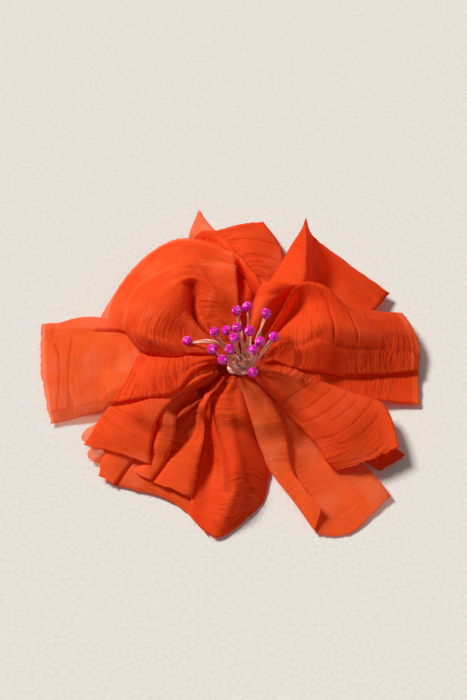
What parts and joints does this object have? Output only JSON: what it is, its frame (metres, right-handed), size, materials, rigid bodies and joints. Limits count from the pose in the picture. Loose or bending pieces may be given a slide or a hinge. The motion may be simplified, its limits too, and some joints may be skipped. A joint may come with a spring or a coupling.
{
  "type": "flower hair clip",
  "caption": "Chiffon flower hair clip: loose gathered orange petals round magenta beaded stamens, on a felt disc glued to a sprung steel alligator clip.",
  "frame": {"origin": "under the middle of the whole object's box, at the level of the table it lies on", "axes": "+Z out of the flower's face, +X towards the clip's finger end, the clip's hinge axis along Y"},
  "size_m": [0.1151, 0.1079, 0.0301],
  "materials": {
    "orange_chiffon": "crinkled sheer chiffon",
    "magenta_glass": "faceted, polished",
    "peach_glass": "smooth, translucent, possibly nylon",
    "clear_glass": "smooth, pearly, possibly clear glue",
    "orange_thread": "wound thread",
    "felt": "pressed wool felt",
    "nickel_steel": "nickel plated"
  },
  "bodies": {
    "flower": {"petal_back": "orange_chiffon", "petal_back_left_pointed": "orange_chiffon", "petal_back_right_pointed": "orange_chiffon", "petal_right_under": "orange_chiffon", "petal_right_cupped": "orange_chiffon", "petal_front_right_under": "orange_chiffon", "petal_front_right_sheer": "orange_chiffon", "petal_front_left_under": "orange_chiffon", "petal_front_spoon": "orange_chiffon", "petal_front_right_folded": "orange_chiffon", "petal_front_right": "orange_chiffon", "petal_left_loop_upper": "orange_chiffon", "petal_left_loop_lower": "orange_chiffon", "petal_front_left_tab": "orange_chiffon", "petal_front_left_inner": "orange_chiffon", "petal_front_left_narrow": "orange_chiffon", "petal_front_left_square": "orange_chiffon", "petal_left_wide": "orange_chiffon", "petal_back_left_outer": "orange_chiffon", "petal_left_doubled": "orange_chiffon", "petal_back_left_cupped": "orange_chiffon", "bead_01": "magenta_glass", "bead_02": "magenta_glass", "bead_03": "magenta_glass", "bead_04": "magenta_glass", "bead_05": "magenta_glass", "bead_06": "magenta_glass", "bead_07": "magenta_glass", "bead_08": "magenta_glass", "bead_09": "magenta_glass", "bead_10": "magenta_glass", "bead_11": "magenta_glass", "bead_12": "magenta_glass", "bead_13": "magenta_glass", "bead_14": "magenta_glass", "bead_15": "magenta_glass", "bead_16": "magenta_glass", "stem_01": "peach_glass", "stem_02": "peach_glass", "stem_03": "peach_glass", "stem_04": "peach_glass", "stem_05": "peach_glass", "stem_06": "peach_glass", "stem_07": "peach_glass", "stem_08": "peach_glass", "stem_09": "peach_glass", "stem_10": "peach_glass", "stem_11": "peach_glass", "stem_12": "peach_glass", "stem_13": "peach_glass", "stem_14": "peach_glass", "stem_15": "peach_glass", "stem_16": "peach_glass", "stamen_dish": "clear_glass", "gathering_knot": "orange_thread", "felt_backing": "felt", "clip_upper_jaw": "nickel_steel", "hinge_pin": "nickel_steel", "torsion_spring": "nickel_steel"},
    "lower_jaw": {"clip_lower_jaw": "nickel_steel"}
  },
  "joints": [
    {"name": "jaw", "type": "hinge", "parent": "flower", "child": "lower_jaw", "pos_m": [0.0085, -0.0049, 0.0036], "axis": [0, -1, 0], "range_deg": [0, 20], "stiffness_Nm_per_rad": 0.05, "springref_deg": -51.57, "deforming": ["torsion_spring"]}
  ]
}
